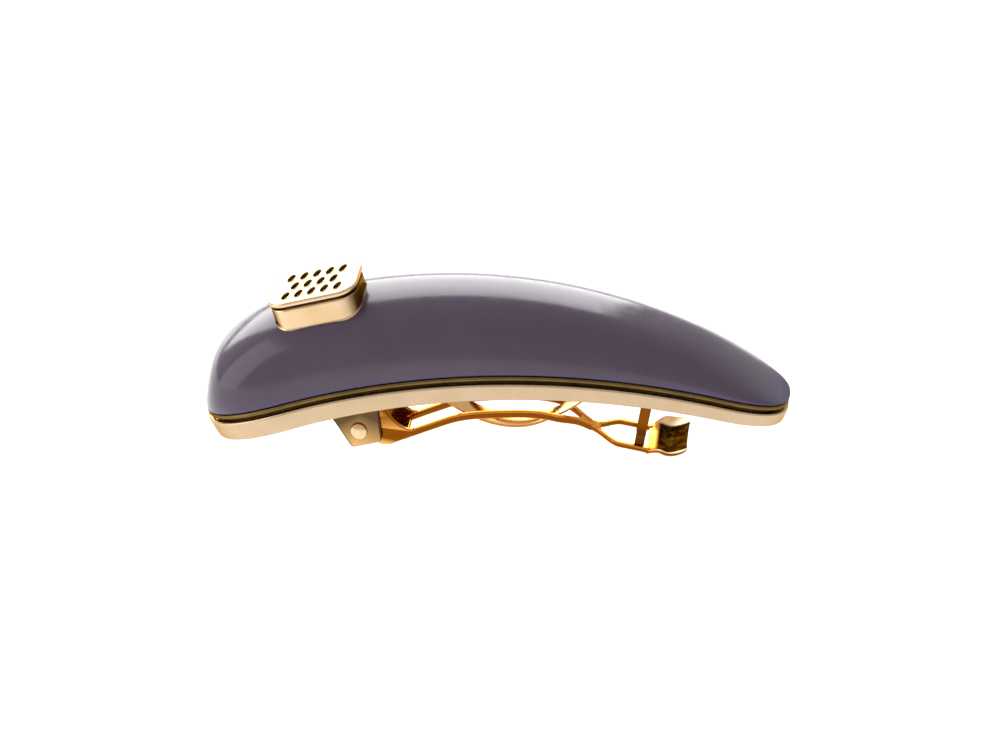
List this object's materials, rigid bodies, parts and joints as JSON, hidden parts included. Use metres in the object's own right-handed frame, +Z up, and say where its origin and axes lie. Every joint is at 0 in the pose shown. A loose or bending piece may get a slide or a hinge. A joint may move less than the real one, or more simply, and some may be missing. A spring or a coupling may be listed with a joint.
{
  "type": "barrette",
  "caption": "Tapered, domed enamel hair barrette in a gilt band, with a perforated badge on top and a hinged, sprung clasp underneath.",
  "frame": {"origin": "on the surface that the barrette lies on, below the middle of its length and width", "axes": "+X towards the tapered end, +Y across it, +Z up out of the dome; the barrette lies on its hinge ears and thumb tab"},
  "size_m": [0.0874, 0.0234, 0.0279],
  "materials": {
    "pale_gilt": "polished pale-gold plating",
    "dark_gilt": "antiqued dark-gold plating",
    "clasp_gilt": "polished warm-gold plating",
    "raw_brass": "pressed, unpolished",
    "spring_steel": "gold-plated spring strip",
    "enamel": "glossy cold enamel, grey-violet",
    "inlay": "dark brown cold enamel"
  },
  "bodies": {
    "ornament": {"rim_frame": "pale_gilt", "bezel_wire": "dark_gilt", "back_plate": "pale_gilt", "dome_shell": "raw_brass", "enamel_dome": "enamel", "badge_box": "pale_gilt", "badge_inlay": "inlay", "badge_lid": "pale_gilt", "badge_post_left": "raw_brass", "badge_post_right": "raw_brass", "push_nut_left": "spring_steel", "push_nut_right": "spring_steel", "base_rivet_hinge_end": "raw_brass", "base_rivet_catch_end": "raw_brass", "rivet_washer_hinge_end": "raw_brass", "rivet_washer_catch_end": "raw_brass", "clasp_base": "clasp_gilt", "hinge_pin": "pale_gilt", "tension_bow": "spring_steel", "catch_saddle": "clasp_gilt"},
    "arm": {"clasp_arm": "clasp_gilt"},
    "jaw_near": {"catch_jaw_near": "clasp_gilt"},
    "jaw_far": {"catch_jaw_far": "clasp_gilt"}
  },
  "joints": [
    {"name": "arm_hinge", "type": "hinge", "parent": "ornament", "child": "arm", "pos_m": [-0.02024, 0, 0.00291], "axis": [0, 1, 0], "range_deg": [0, 75]},
    {"name": "jaw_near_squeeze", "type": "hinge", "parent": "ornament", "child": "jaw_near", "pos_m": [0.02297, -0.00205, 0.00947], "axis": [0.9847, 0, -0.1743], "range_deg": [0, 5], "stiffness_Nm_per_rad": 0.02},
    {"name": "jaw_far_squeeze", "type": "hinge", "parent": "ornament", "child": "jaw_far", "pos_m": [0.02297, 0.00205, 0.00947], "axis": [-0.9847, 0, 0.1743], "range_deg": [0, 5], "stiffness_Nm_per_rad": 0.02}
  ],
  "couplings": [
    {"joint": "jaw_far_squeeze", "follows": "jaw_near_squeeze", "ratio": 1}
  ]
}
